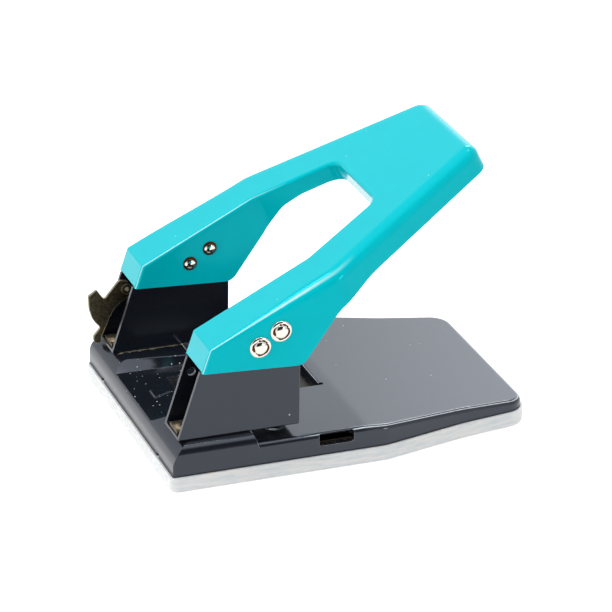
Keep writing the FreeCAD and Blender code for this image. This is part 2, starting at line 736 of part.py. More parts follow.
def lever():
    shell = lever_form(0).cut(lever_form(lever_sheet))
    around = Part.Face(rounded_wire(drawn_in(fork_outline(), lever_sheet + trim_reach), on_lever))
    around = around.extrude(lever_down * wide)
    shell = shell.cut(opening_trim().cut(around))
    for side in (-1, 1):
        x = side * punch_x
        clear = arm_half_width - fold_radius
        web_front = lever_rear_depth + lever_sheet
        shell = shell.cut(box(x - clear, x + clear, 0, web_front, 0, web_foot_height))
        low, high = x - arm_half_width - 1, x + arm_half_width + 1
        for depth, height in ((pivot_depth, pivot_height), (drive_depth, drive_height)):
            shell = shell.cut(crosswise(low, high, depth, height, rivet_shank_radius))
    return shell.removeSplitter()


def arm_rivet(side, depth, height):
    """Rivet across an arm: domed head outside, small formed head inside."""
    outer = side * (punch_x + arm_half_width)
    inner = side * (punch_x - arm_half_width)
    low, high = sorted((inner - side * shank_overlap, outer + side * shank_overlap))
    shank = crosswise(low, high, depth, height, rivet_shank_radius)
    head = facing_x(domed(rivet_head_radius, rivet_head_height), outer, depth, height, side)
    tail = facing_x(domed(rivet_tail_radius, rivet_tail_height), inner, depth, height, -side)
    return shank.fuse(head).fuse(tail)


# ---- punches -------------------------------------------------------------
def punch(side):
    """Round punch, hollow ground at its end, with a slotted head for the drive rivet."""
    x = side * punch_x
    pin = upright(x, punch_depth, punch_radius, punch_tip_height, crosshead_foot + 1)
    grind = (punch_radius ** 2 + tip_hollow_depth ** 2) / (2 * tip_hollow_depth)
    hollow = crosswise(x - overrun, x + overrun, punch_depth,
                       punch_tip_height + tip_hollow_depth - grind, grind)
    head = upright(x, punch_depth, crosshead_radius, crosshead_foot, crosshead_top)
    rim = [edge for edge in head.Edges if edge.Length > 2 * crosshead_radius]
    head = head.makeChamfer(crosshead_chamfer, rim)
    around = rivet_shank_radius + crosshead_clearance
    rear, front = drive_depth - around, drive_farthest + around
    slot = [(rear, drive_height - around, around * 0.98), (front, drive_height - around, around * 0.98),
            (front, drive_height + around, around * 0.98), (rear, drive_height + around, around * 0.98)]
    return pin.cut(hollow).fuse(head).cut(side_prism(slot, x - overrun * 2, x + overrun * 2))


def spring_washer(side):
    x = side * punch_x
    low = crosshead_foot - washer_thickness
    disc = upright(x, punch_depth, crosshead_radius + washer_overhang, low, crosshead_foot)
    return disc.cut(upright(x, punch_depth, punch_radius + washer_clearance, low - 1, crosshead_foot + 1))


def return_spring(side):
    """Compression spring round the punch, its two ends ground flat."""
    x = side * punch_x
    low, high = guide_top, crosshead_foot - washer_thickness
    pitch = (high - low) / spring_turns
    helix = Part.makeHelix(pitch, high - low, spring_mean_radius)
    turns = [math.tau * (corner + 0.5) / spring_wire_sides for corner in range(spring_wire_sides)]
    corners = [Vector(spring_mean_radius + spring_wire / 2 * math.cos(turn), 0,
                      spring_wire / 2 * math.sin(turn)) for turn in turns]
    section = Part.makePolygon([*corners, corners[0]])
    coil = Part.Wire(helix).makePipeShell([section], True, True)
    coil.translate(Vector(x, rear_y - punch_depth, low))
    room = upright(x, punch_depth, spring_mean_radius + spring_wire, low, high)
    return coil.common(room)


# ---- latch ---------------------------------------------------------------
def latch_span():
    """Inner and outer x of the latch plate, beside the right bracket's outer wall."""
    outer = punch_x + bracket_half_width - bracket_sheet - latch_gap
    return outer - latch_sheet, outer


def latch():
    """Flat hooked plate: finger hook behind, knobbed tail resting on the base."""
    drop = latch_pivot_height - (ledge_height - latch_foot_drop)
    stretch = -drop / min(above for _, above, _ in latch_outline)
    corners = [(latch_pivot_depth + ahead, latch_pivot_height + above * (stretch if above < 0 else 1), radius)
               for ahead, above, radius in latch_outline]
    low, high = latch_span()
    plate = side_prism(corners, low, high)
    hole = crosswise(low - 1, high + 1, latch_pivot_depth, latch_pivot_height,
                     latch_rivet_radius + running_clearance)
    return plate.cut(hole)


def latch_rivet():
    """Hollow rivet, its rim rolled over the latch."""
    low, high = latch_span()
    inside = low - latch_gap
    outside = punch_x + bracket_half_width
    rim = latch_rim_height
    shank = crosswise(inside, outside, latch_pivot_depth, latch_pivot_height, latch_rivet_radius)
    inner_rim = crosswise(inside - rim, inside, latch_pivot_depth, latch_pivot_height, latch_rim_radius)
    outer_rim = crosswise(outside, outside + rim, latch_pivot_depth, latch_pivot_height, latch_rim_radius)
    body = shank.fuse(inner_rim).fuse(outer_rim)
    bore = crosswise(inside - 1, outside + 1, latch_pivot_depth, latch_pivot_height, latch_bore_radius)
    return body.cut(bore).removeSplitter()


# ---- paper gauge ---------------------------------------------------------
def gauge_bar():
    """Flat bar under the table; its end is turned up as the paper stop."""
    left = -(base_half_width - base_sheet - gauge_end_gap)
    tab_inner = base_half_width + gauge_tab_gap
    tab_outer = tab_inner + gauge_thickness
    top = gauge_bottom + gauge_thickness
    corners = [(left, gauge_bottom, 0), (tab_outer, gauge_bottom, gauge_thickness),
               (tab_outer, gauge_tab_height, 0), (tab_inner, gauge_tab_height, 0),
               (tab_inner, top, 0), (left, top, 0)]
    bar = section_prism(corners, gauge_rear, gauge_front)
    tab_outline = [(gauge_rear, gauge_bottom - 1, 0), (gauge_front, gauge_bottom - 1, 0),
                   (gauge_front, gauge_tab_height, gauge_tab_radius),
                   (gauge_rear, gauge_tab_height, gauge_tab_radius)]
    bar = bar.common(side_prism(tab_outline))
    ears = box(left, left + gauge_ear_length, gauge_rear - gauge_end_ears,
               gauge_front + gauge_end_ears, gauge_bottom, top)
    return bar.fuse(ears).removeSplitter()


def gauge_bridge():
    """Strip welded under the table that the bar slides in, next to the right wall."""
    high_x = base_half_width - rim_radius
    low_x = high_x - bridge_width
    ceiling = table_height - base_sheet
    under = gauge_bottom - bridge_under_gap
    rear, front = gauge_rear - bridge_side_gap, gauge_front + bridge_side_gap
    sheet = bridge_sheet
    tight, full = bridge_bend_radius, bridge_bend_radius + sheet
    rear_foot, front_foot = rear - sheet - bridge_foot, front + sheet + bridge_foot
    corners = [(rear_foot, ceiling, 0), (rear_foot, ceiling - sheet, 0),
               (rear - sheet, ceiling - sheet, tight), (rear - sheet, under - sheet, full),
               (front + sheet, under - sheet, full), (front + sheet, ceiling - sheet, tight),
               (front_foot, ceiling - sheet, 0), (front_foot, ceiling, 0),
               (front, ceiling, full), (front, under, tight), (rear, under, tight), (rear, ceiling, full)]
    return side_prism(corners, low_x, high_x)


# ---- chip tray -----------------------------------------------------------
def tray_outline(overhang):
    """The base's plan grown by an overhang, with softer rear corners."""
    grown = drawn_in(base_outline(), -overhang)
    grown[0] = (*grown[0][:2], tray_rear_radius)
    grown[-1] = (*grown[-1][:2], tray_rear_radius)
    return grown


def chip_tray():
    """Soft tray pushed over the skirt; the skirt stands on its inner step."""
    tray = plan_prism(tray_outline(tray_overhang), 0, tray_rim_height)
    bottom = [edge for edge in tray.Edges if max(v.Z for v in edge.Vertexes) < 0.01]
    tray = tray.makeFillet(tray_edge_radius, bottom)
    seat = skirt_bottom - seat_gap
    socket = plan_prism(drawn_in(base_outline(), -tray_clearance), seat, tray_rim_height + 1)
    inside = plan_prism(drawn_in(base_outline(), tray_step_width), tray_floor, tray_rim_height + 1)
    tray = tray.cut(socket).cut(inside)
    for side in (-1, 1):
        rib = notch_width / 2 - rib_clearance
        x = side * notch_x
        rear = -tray_clearance - seat_gap
        tray = tray.fuse(box(x - rib, x + rib, rear, rib_depth, seat - 1, tray_rim_height))
    return tray.removeSplitter()


# ---- the parts -----------------------------------------------------------
def export(name, shape):
    shape.exportStep(os.path.join("parts", name + ".step"))


os.makedirs("parts", exist_ok=True)
export("base_plate", base_plate())
export("chip_tray", chip_tray())
export("foot_rivets", foot_rivets())
export("gauge_bar", gauge_bar())
export("gauge_bridge", gauge_bridge())
export("lever", lever())
export("latch", latch())
export("latch_rivet", latch_rivet())
for side_name, side_sign in (("left", -1), ("right", 1)):
    export("bracket_" + side_name, bracket(side_sign))
    export("guide_" + side_name, guide(side_sign))
    export("die_" + side_name, die(side_sign))
    export("punch_" + side_name, punch(side_sign))
    export("spring_washer_" + side_name, spring_washer(side_sign))
    export("return_spring_" + side_name, return_spring(side_sign))
    export("pivot_rivet_" + side_name, arm_rivet(side_sign, pivot_depth, pivot_height))
    export("drive_rivet_" + side_name, arm_rivet(side_sign, drive_depth, drive_height))
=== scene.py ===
"""Visual model of a hand two-hole paper punch, dressed round its CAD frame. Metres, +Z up."""

import math

import bmesh
import bpy
from mathutils import Matrix, Vector


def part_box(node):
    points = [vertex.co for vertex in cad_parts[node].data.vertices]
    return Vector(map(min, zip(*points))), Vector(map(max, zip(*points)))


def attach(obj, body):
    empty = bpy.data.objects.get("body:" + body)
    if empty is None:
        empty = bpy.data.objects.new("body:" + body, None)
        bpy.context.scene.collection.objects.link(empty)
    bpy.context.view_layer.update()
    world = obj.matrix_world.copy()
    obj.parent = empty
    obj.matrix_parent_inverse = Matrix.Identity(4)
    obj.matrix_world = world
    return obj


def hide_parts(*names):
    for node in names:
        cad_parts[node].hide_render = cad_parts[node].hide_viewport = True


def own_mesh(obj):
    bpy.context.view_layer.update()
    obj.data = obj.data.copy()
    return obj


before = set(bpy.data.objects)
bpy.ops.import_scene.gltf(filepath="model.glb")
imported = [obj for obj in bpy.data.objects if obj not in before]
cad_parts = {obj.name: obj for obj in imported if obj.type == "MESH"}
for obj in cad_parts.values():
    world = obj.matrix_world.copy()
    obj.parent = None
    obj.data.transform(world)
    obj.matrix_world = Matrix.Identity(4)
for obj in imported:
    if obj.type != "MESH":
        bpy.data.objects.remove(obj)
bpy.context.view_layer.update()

# ---- Camera ---------------------------------------------------------------
# A long lens a little over a metre away, behind and to the left of the punch,
# looking down over its rear end with the handle rising to the right.
image_width = 612
focal_length = 3422.67           # in pixels of the image
camera_place = Vector((-1.11048, 0.422075, 0.581633))
camera_yaw = 1.208855
camera_pitch = -0.426325
camera_roll = 0.015118

lens = bpy.data.cameras.new("camera")
lens.sensor_width = 36.0
lens.lens = focal_length / image_width * lens.sensor_width
lens.clip_start = 0.1
lens.clip_end = 20.0
camera = bpy.data.objects.new("camera", lens)
bpy.context.scene.collection.objects.link(camera)
bpy.context.scene.camera = camera

forward = Vector((math.sin(camera_yaw) * math.cos(camera_pitch),
                  -math.cos(camera_yaw) * math.cos(camera_pitch),
                  math.sin(camera_pitch)))
level_right = forward.cross(Vector((0, 0, 1))).normalized()
level_up = level_right.cross(forward)
right = level_right * math.cos(camera_roll) + level_up * math.sin(camera_roll)
up = level_up * math.cos(camera_roll) - level_right * math.sin(camera_roll)
turn_of_camera = Matrix((right, up, -forward)).transposed().to_4x4()
camera.matrix_world = Matrix.Translation(camera_place) @ turn_of_camera

# ---- Base plate and brackets ----------------------------------------------
# The base is one pressing of 1 mm steel sheet: table, two ledges, window, sloping platform
# and turned-down skirt. The brackets are folded channels riveted to the ledges. All three
# are stoved in gloss black enamel.
mm = 0.001
edge_round = 0.3 * mm            # of the cut edges, where the enamel wears through
outer_edges = 51 * mm            # from the middle; the edges beyond it are handled
bracket_edges = 18.3 * mm        # height; the edges above it are handled too
well_half_width = 25 * mm
well_front = 38 * mm
ledge_level = 17.3 * mm          # just under the tops of the ledges
rim_highlight_crest = 0.82                 # upward part of the normal where the painted highlight on the rim is brightest
rim_highlight_from = 22 * mm        # depth where the painted highlight on the rim starts
rim_highlight_to = 14 * mm          # and where it is full
faces_up = 0.6                   # upward part of the normal from which dust lies on a face
faces_sideways = 0.7             # sideways part from which a face counts as a side
enamel_gloss = 0.16              # roughness of the clean enamel


def linear(code):
    """The linear colour of an sRGB hex code."""
    channels = [int(code[i:i + 2], 16) / 255 for i in (1, 3, 5)]
    return [c / 12.92 if c <= 0.04045 else ((c + 0.055) / 1.055) ** 2.4 for c in channels] + [1.0]


def add_node(tree, kind, inputs=None, **settings):
    """Adds a shader node. An input, by name or number, takes a value, a socket or another node."""
    node = tree.nodes.new("ShaderNode" + kind)
    for name, value in settings.items():
        setattr(node, name, value)
    for key, value in (inputs or {}).items():
        if isinstance(key, int):
            socket = node.inputs[key]
        else:
            socket = next(s for s in node.inputs if s.name == key and s.enabled)
        if isinstance(value, bpy.types.Node):
            value = next(s for s in value.outputs if s.enabled)
        if isinstance(value, bpy.types.NodeSocket):
            tree.links.new(value, socket)
        else:
            socket.default_value = value
    return node


def start_material(name):
    """An empty material and its node tree."""
    material = bpy.data.materials.new(name)
    material.use_nodes = True
    material.node_tree.nodes.clear()
    return material, material.node_tree


def surface(tree, inputs):
    """Closes a material with a shader that has these inputs."""
    shader = add_node(tree, "BsdfPrincipled", inputs)
    add_node(tree, "OutputMaterial", {"Surface": shader})


def dress(material, *names):
    """Gives CAD nodes their finish."""
    for name in names:
        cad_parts[name].material_slots[0].material = material


def bearings(tree):
    """The place on a piece, its three axes, and the three parts of the way its face turns."""
    place = add_node(tree, "TexCoord").outputs["Object"]
    facing = add_node(tree, "NewGeometry").outputs["Normal"]
    return (place, add_node(tree, "SeparateXYZ", {"Vector": place}).outputs,
            add_node(tree, "SeparateXYZ", {"Vector": facing}).outputs)


def overlap(tree, mask, *others):
    """Where all of the masks hold."""
    for other in others:
        mask = add_node(tree, "Math", {0: mask, 1: other}, operation="MULTIPLY")
    return mask


def distance_from(tree, value, middle):
    """How far a value lies from a middle one, on either side of it."""
    past = add_node(tree, "Math", {0: value, 1: middle}, operation="SUBTRACT")
    return add_node(tree, "Math", {0: past}, operation="ABSOLUTE")


def soft_line(tree, value, middle, full, gone, strength):
    """A mask at its strength within the distance full of a middle value, that ends at gone."""
    return add_node(tree, "MapRange", {
        "Value": distance_from(tree, value, middle), "From Min": full, "From Max": gone,
        "To Min": strength, "To Max": 0.0})


def specks(tree, axes, turns, spacing, size, share):
    """A mask of uneven specks: one to a cell of that spacing, in a share of the cells."""
    lean = add_node(tree, "Math", {0: turns["X"]}, operation="ABSOLUTE")
    sideways = add_node(tree, "Math", {0: lean, 1: faces_sideways}, operation="GREATER_THAN")
    level = add_node(tree, "Math", {0: turns["Z"], 1: faces_up}, operation="GREATER_THAN")
    across = add_node(tree, "Mix", {"Factor": sideways, "A": axes["X"], "B": axes["Y"]})
    along = add_node(tree, "Mix", {"Factor": level, "A": axes["Z"], "B": axes["Y"]})
    place = add_node(tree, "CombineXYZ", {"X": across, "Y": along})
    cells = add_node(tree, "TexVoronoi", {"Vector": place, "Scale": 1 / spacing, "Randomness": 1.0},
                     voronoi_dimensions="2D").outputs
    number = add_node(tree, "SeparateColor", {"Color": cells["Color"]}).outputs
    reach = add_node(tree, "MapRange", {"Value": number["Green"], "To Min": 0.35 * size / spacing,
                                        "To Max": size / spacing})
    near = add_node(tree, "Math", {0: cells["Distance"], 1: reach}, operation="LESS_THAN")
    chosen = add_node(tree, "Math", {0: number["Red"], 1: share}, operation="LESS_THAN")
    return overlap(tree, near, chosen)


def along_sharp_edges(tree, rounded):
    """A mask along sharp edges: where the rounded normal turns away from the face's own."""
    flat = add_node(tree, "NewGeometry").outputs["True Normal"]
    turn = add_node(tree, "VectorMath", {0: rounded, 1: flat}, operation="DOT_PRODUCT")
    return add_node(tree, "MapRange", {"Value": turn, "From Min": 0.985, "From Max": 0.86})


def orange_peel(tree, place, strength, **under):
    """The waviness of sprayed enamel: swells 2.5 mm apart, 0.2 mm high at full strength."""
    peel = add_node(tree, "TexNoise", {"Vector": place, "Scale": 1 / (2.5 * mm), "Detail": 2.0})
    return add_node(tree, "Bump", {"Height": peel, "Strength": strength, "Distance": 0.2 * mm,
                                   **under})


def layered(tree, ground, *coats):
    """A ground colour with coats laid over it in turn, each by its mask and its own colour."""
    colour = linear(ground)
    for mask, code in coats:
        colour = add_node(tree, "Mix", {"Factor": mask, "A": colour, "B": linear(code)},
                          data_type="RGBA")
    return colour


# Stoved enamel over degreased steel: a deep blue-black gloss with faint orange peel. Its IOR of
# 1.6 is at the high end for a paint, because the stoved film is dense. Cut edges have worn to
# grey steel, the rim round the platform carries a painted highlight, and paper dust lies
# mostly in the well.
# The specks of dust are drawn at 0.3 mm, coarser than real dust, so that they show.
black_enamel, tree = start_material("gloss_black_stoved_enamel")
place, axes, turns = bearings(tree)
rounded = add_node(tree, "Bevel", {"Radius": edge_round}, samples=6)
off_middle = add_node(tree, "Math", {0: axes["X"]}, operation="ABSOLUTE")
outermost = add_node(tree, "Math", {0: off_middle, 1: outer_edges}, operation="GREATER_THAN")
raised = add_node(tree, "Math", {0: axes["Z"], 1: bracket_edges}, operation="GREATER_THAN")
handled = add_node(tree, "Math", {0: outermost, 1: raised}, operation="MAXIMUM")
worn = overlap(tree, along_sharp_edges(tree, rounded), handled)

# Painted highlight: a pale line along the crest of the rim, towards the front.
in_front = add_node(tree, "MapRange", {"Value": axes["Y"], "From Min": rim_highlight_from,
                                       "From Max": rim_highlight_to})
painted_rim_highlight = overlap(tree, soft_line(tree, turns["Z"], rim_highlight_crest, 0.025, 0.06, 1.0), in_front)

inside = add_node(tree, "Math", {0: off_middle, 1: well_half_width}, operation="LESS_THAN")
behind = add_node(tree, "Math", {0: axes["Y"], 1: well_front}, operation="GREATER_THAN")
share = add_node(tree, "MapRange", {"Value": overlap(tree, inside, behind),
                                    "To Min": 0.015, "To Max": 0.32})
dust = specks(tree, axes, turns, 3.2 * mm, 0.3 * mm, share)

# Dust that was swept against the foot of each bracket's inner wall lies there as a ragged line.
bracket_low, bracket_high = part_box("bracket_right")
from_wall = distance_from(tree, off_middle, bracket_low[0] - 0.15 * mm)
drift = add_node(tree, "TexNoise", {"Vector": place, "Scale": 1 / (1.8 * mm), "Detail": 4.0})
drift = add_node(tree, "MapRange", {"Value": drift, "From Min": 0.35, "From Max": 0.7,
                                    "To Max": 1.0 * mm})
swept = overlap(tree, *(
    add_node(tree, "Math", {0: value, 1: limit}, operation=sense) for value, limit, sense in (
        (from_wall, drift, "LESS_THAN"),
        (axes["Y"], bracket_low[1] - mm, "GREATER_THAN"),
        (axes["Y"], bracket_high[1] - 2 * mm, "LESS_THAN"),
        (axes["Z"], ledge_level, "GREATER_THAN"),
        (turns["Z"], faces_up, "GREATER_THAN"))))

surface(tree, {
    "Base Color": layered(tree, "#181A21", (worn, "#8E8F94"), (painted_rim_highlight, "#E4E8EC"),
                          (swept, "#8A8470"), (dust, "#D2D2CC")),
    "Roughness": add_node(tree, "MapRange", {"Value": dust, "To Min": enamel_gloss, "To Max": 0.8}),
    "IOR": 1.6, "Specular Tint": linear("#E6EEFF"),
    "Normal": orange_peel(tree, place, 0.05, Normal=rounded)})
dress(black_enamel, "base_plate", "bracket_left", "bracket_right")

# ---- Chip tray ------------------------------------------------------------
# A soft polyethylene cover that snaps on under the base and catches the chips.
# It is moulded, milky and translucent, and its outside is scuffed.
scuff_spacing = 1.6 * mm
scuff_stretch = (0.5, 0.15, 1.2)  # 3 mm long across, 11 mm from front to rear, 1.3 mm high
light_spread = (4 * mm, 4 * mm, 5 * mm)  # of red, green and blue light in the plastic

# Milky polyethylene, IOR 1.51: light goes in and spreads, and long shallow scuffs dull its gloss.
soft_plastic, tree = start_material("moulded_milky_polyethylene")
place = add_node(tree, "TexCoord").outputs["Object"]
drawn = add_node(tree, "Mapping", {"Vector": place, "Scale": scuff_stretch})
scuff = add_node(tree, "TexNoise", {"Vector": drawn, "Scale": 1 / scuff_spacing, "Detail": 6.0,
                                    "Roughness": 0.72})
marks = add_node(tree, "MapRange", {"Value": scuff, "From Min": 0.34, "From Max": 0.6})
surface(tree, {
    "Base Color": layered(tree, "#E3EBF2", (marks, "#FFFFFF")),
    "Roughness": add_node(tree, "MapRange", {"Value": scuff, "To Min": 0.3, "To Max": 0.6}),
    "IOR": 1.51, "Transmission Weight": 0.05, "Subsurface Weight": 0.35,
    "Subsurface Radius": light_spread, "Subsurface Scale": 1.0,
    "Normal": add_node(tree, "Bump", {"Height": scuff, "Strength": 0.3, "Distance": 0.25 * mm})})
dress(soft_plastic, "chip_tray")

# ---- Lever ----------------------------------------------------------------
# One forked sheet of steel: two arms over the brackets join in the handle.
# It is drawn over a die, its edges turned down, and stoved in turquoise enamel.
fold_highlight_lean = 0.62                 # sideways part of the normal where the painted fold highlight is palest
fold_highlight_from = 0.0            # depth where the painted highlight lines start, on the arms alone
fold_highlight_full = 22 * mm

# Stoved turquoise enamel, IOR 1.5: very saturated, glossy, with faint orange peel and a few
# specks. The pale lines along the folds of the arms are painted highlights.
turquoise_enamel, tree = start_material("gloss_turquoise_stoved_enamel")
place, axes, turns = bearings(tree)
dust = specks(tree, axes, turns, 9 * mm, 0.24 * mm, 0.12)
cloud = add_node(tree, "TexNoise", {"Vector": place, "Scale": 1 / (12 * mm), "Detail": 3.0})
lean = add_node(tree, "Math", {0: turns["X"]}, operation="ABSOLUTE")
on_arm = add_node(tree, "MapRange", {"Value": axes["Y"], "From Min": fold_highlight_from,
                                     "From Max": fold_highlight_full})
upper = add_node(tree, "Math", {0: turns["Z"], 1: 0.0}, operation="GREATER_THAN")
# Painted highlight: pale lines along the upper folds of the arms.
painted_fold_highlight = overlap(tree, soft_line(tree, lean, fold_highlight_lean, 0.05, 0.15, 0.8), on_arm, upper)
surface(tree, {
    "Base Color": layered(tree, "#00BEC9", (cloud, "#00C5D1"), (painted_fold_highlight, "#D2F6F6"),
                          (dust, "#B4E9E8")),
    "Roughness": 0.14, "IOR": 1.5, "Specular IOR Level": 0.4, "Specular Tint": linear("#50F0F4"),
    "Normal": orange_peel(tree, place, 0.04)})
dress(turquoise_enamel, "lever")

# ---- Arm rivets -----------------------------------------------------------
# Nickel-plated solid rivets: the pivots low at the rear, the drives above. Their
# heads are cold formed with a dome inside a flat rim, and rust sits in the groove.

# Both profiles give radius and height in mm, from the rim to the middle of the dome.
head_profile = ((4.15, 0.0), (4.13, 0.3), (3.98, 0.5), (3.5, 0.66), (3.05, 0.74), (2.9, 0.7),
                (2.78, 0.68), (2.68, 0.8), (2.45, 1.06), (2.1, 1.3), (1.6, 1.5), (1.0, 1.63),
                (0.4, 1.69), (0.0, 1.7))
tail_profile = ((2.8, 0.0), (2.79, 0.2), (2.7, 0.38), (2.45, 0.5), (2.3, 0.5), (2.2, 0.56),
                (2.0, 0.78), (1.6, 1.02), (1.1, 1.19), (0.5, 1.28), (0.0, 1.3))
head_height = head_profile[-1][1]
tail_height = tail_profile[-1][1]
shank_radius = 2.0 * mm
rivet_sides = 56
groove_radius = 2.82 * mm
head_rust = 0.55 * mm            # how far rust spreads from the groove at most
tail_rust = 0.45 * mm            # and how much further round the tails

# Polished nickel plate: a warm mirror that turns the room over, brown with rust in its grooves.
nickel, tree = start_material("polished_nickel_plate")
place = add_node(tree, "TexCoord").outputs["Object"]
axes = add_node(tree, "SeparateXYZ", {"Vector": place}).outputs
face = add_node(tree, "CombineXYZ", {"X": axes["Y"], "Y": axes["Z"]})
radius = add_node(tree, "VectorMath", {0: face}, operation="LENGTH")
blotch = add_node(tree, "TexNoise", {"Vector": place, "Scale": 1 / (1.9 * mm), "Detail": 3.0})
spread = add_node(tree, "MapRange", {"Value": blotch, "From Min": 0.34, "From Max": 0.56,
                                     "To Max": head_rust})
tail = add_node(tree, "Math", {0: axes["X"], 1: 0.0}, operation="LESS_THAN")
spread = add_node(tree, "Math", {0: tail, 1: tail_rust, 2: spread}, operation="MULTIPLY_ADD")
rust = add_node(tree, "Math", {0: distance_from(tree, radius, groove_radius), 1: spread},
                operation="LESS_THAN")
marks = add_node(tree, "TexNoise", {"Vector": place, "Scale": 1 / (0.7 * mm), "Detail": 4.0})
haze = add_node(tree, "MapRange", {"Value": marks, "To Min": 0.02, "To Max": 0.12})
surface(tree, {
    "Base Color": layered(tree, "#CFC8B9", (marks, "#EDE8DE"), (rust, "#4E2A12")),
    "Roughness": add_node(tree, "Math", {0: rust, 1: 0.4, 2: haze}, operation="MULTIPLY_ADD"),
    "Metallic": 1.0})


def shaped(name, points, faces, material):
    """A smooth piece of these points and faces, doubled points joined and its faces outwards."""
    mesh = bpy.data.meshes.new(name)
    mesh.from_pydata(points, [], faces)
    mesh.validate()
    shape = bmesh.new()
    shape.from_mesh(mesh)
    bmesh.ops.remove_doubles(shape, verts=shape.verts, dist=0.001 * mm)
    bmesh.ops.recalc_face_normals(shape, faces=shape.faces)
    shape.to_mesh(mesh)
    shape.free()
    mesh.shade_smooth()
    mesh.materials.append(material)
    piece = bpy.data.objects.new(name, mesh)
    bpy.context.scene.collection.objects.link(piece)
    return piece


def wall(rings, sides):
    """The faces that join each ring of points to the next."""
    return [(ring * sides + side, ring * sides + (side + 1) % sides,
             (ring + 1) * sides + (side + 1) % sides, (ring + 1) * sides + side)
            for ring in range(rings - 1) for side in range(sides)]


for kind in ("pivot", "drive"):
    for side, turned_by in (("left", math.pi), ("right", 0.0)):
        low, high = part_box(kind + "_rivet_" + side)
        half = (high[0] - low[0]) / 2
        outline = [(half - (head_height - height) * mm, radius * mm)
                   for radius, height in reversed(head_profile)]
        outline += [(half - head_height * mm, shank_radius),
                    (tail_height * mm - half, shank_radius)]
        outline += [((tail_height - height) * mm - half, radius * mm)
                    for radius, height in tail_profile]
        points = [(x, radius * math.cos(step * math.tau / rivet_sides),
                   radius * math.sin(step * math.tau / rivet_sides))
                  for x, radius in outline for step in range(rivet_sides)]
        rivet = shaped("headed_" + kind + "_rivet_" + side, points,
                       wall(len(outline), rivet_sides), nickel)
        rivet.location = [(low[axis] + high[axis]) / 2 for axis in range(3)]
        rivet.rotation_euler.z = turned_by
        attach(rivet, "lever")
        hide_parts(kind + "_rivet_" + side)

# ---- Punches, washers and dies --------------------------------------------
# Ground tool steel punches that slide in the guides and shear into die plates.
# Their heads carry the drive rivets, and loose washers seat the springs.


def mottled_metal(name, colours, roughness, grain, contrast=(0, 1), stretch=(1, 1, 1)):
    """A metal with patches from the first colour and roughness to the second, as the grain says."""
    material, tree = start_material(name)
    place = add_node(tree, "TexCoord").outputs["Object"]
    drawn = add_node(tree, "Mapping", {"Vector": place, "Scale": stretch})
    patches = add_node(tree, "TexNoise", {"Vector": drawn, **grain})
    pale = add_node(tree, "MapRange", {"Value": patches, "From Min": contrast[0],
                                       "From Max": contrast[1]})
    surface(tree, {
        "Base Color": layered(tree, colours[0], (pale, colours[1])), "Metallic": 1.0,
        "Roughness": add_node(tree, "MapRange", {"Value": patches, "To Min": roughness[0],
                                                 "To Max": roughness[1]})})
    return material


# Ground tool steel: a grey mirror, broken up by fine rings left by the grinding wheel. They are
# drawn 0.2 mm apart, coarser than a real wheel leaves them, so that they show.
tool_steel = mottled_metal("ground_tool_steel", ("#8F9092", "#CDCDCB"), (0.18, 0.36),
                           {"Scale": 1 / (0.8 * mm), "Detail": 5.0}, stretch=(0.15, 0.15, 4.0))
dress(tool_steel, "punch_left", "punch_right", "die_left", "die_right", "spring_washer_left",
      "spring_washer_right")

# ---- Return springs -------------------------------------------------------
# Compression springs round the punches, coiled from drawn steel wire with a
# turn wound close at each end; they lift the punches and the lever.
spring_turns = 7.5
steps_per_turn = 40
wire_sides = 12
closed_pitch = 0.95 * mm
wire_radius = 0.45 * mm
coil_radius = 4.2 * mm

# Drawn spring steel: grey, its sheen broken by a thin and uneven film of oil.
spring_wire = mottled_metal("drawn_spring_wire", ("#6E6E70", "#B2B2B0"), (0.2, 0.42),
                            {"Scale": 1 / (0.5 * mm), "Detail": 4.0})


def coil(name, middle, foot, top):
    """A round-wire helix between two heights, its end turns wound close."""
    steps = int(spring_turns * steps_per_turn)
    open_pitch = (top - foot - 2 * wire_radius - 2 * closed_pitch) / (spring_turns - 2)
    points = []
    for step in range(steps + 1):
        turn = spring_turns * step / steps
        closed = min(turn, 1) + max(turn - (spring_turns - 1), 0)
        height = foot + wire_radius + closed * closed_pitch + (turn - closed) * open_pitch
        for side in range(wire_sides):
            around = side * math.tau / wire_sides
            radius = coil_radius + wire_radius * math.cos(around)
            points.append((middle[0] + radius * math.cos(turn * math.tau),
                           middle[1] + radius * math.sin(turn * math.tau),
                           height + wire_radius * math.sin(around)))
    ends = [tuple(reversed(range(wire_sides))),
            tuple(steps * wire_sides + side for side in range(wire_sides))]
    return shaped(name, points, wall(steps + 1, wire_sides) + ends, spring_wire)


for side in ("left", "right"):
    low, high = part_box("return_spring_" + side)
    middle = ((low[0] + high[0]) / 2, (low[1] + high[1]) / 2)
    spring = coil("wound_spring_" + side, middle, low[2], high[2])
    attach(spring, "punch_" + side)
    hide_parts("return_spring_" + side)
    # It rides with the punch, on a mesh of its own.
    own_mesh(spring)

# ---- Guides and their rivets ----------------------------------------------
# Strips of folded steel sheet inside the brackets, each held by two rivets. They
# are zinc plated and passivated yellow, gone dull and brownish with paper dust.

# Yellow-passivated zinc gone dull: a tan metal with darker stains 1.2 mm across, quite rough.
yellow_zinc = mottled_metal("dulled_yellow_passivated_zinc", ("#4E4434", "#A2937A"), (0.38, 0.6),
                            {"Scale": 1 / (1.2 * mm), "Detail": 6.0, "Roughness": 0.7},
                            contrast=(0.35, 0.65))
dress(yellow_zinc, "guide_left", "guide_right", "foot_rivets")

# ---- Paper gauge ----------------------------------------------------------
# A flat steel bar that slides under the table in a welded bridge; its upturned
# end stops the paper. Both are chemically blackened and oiled.

# Blackened, oiled steel: nearly black with brown where the finish has rubbed thin.
blackened = mottled_metal("oiled_blackened_steel", ("#0E0C0A", "#2A241D"), (0.3, 0.5),
                          {"Scale": 1 / (1.5 * mm), "Detail": 5.0, "Roughness": 0.65})
dress(blackened, "gauge_bar", "gauge_bridge")

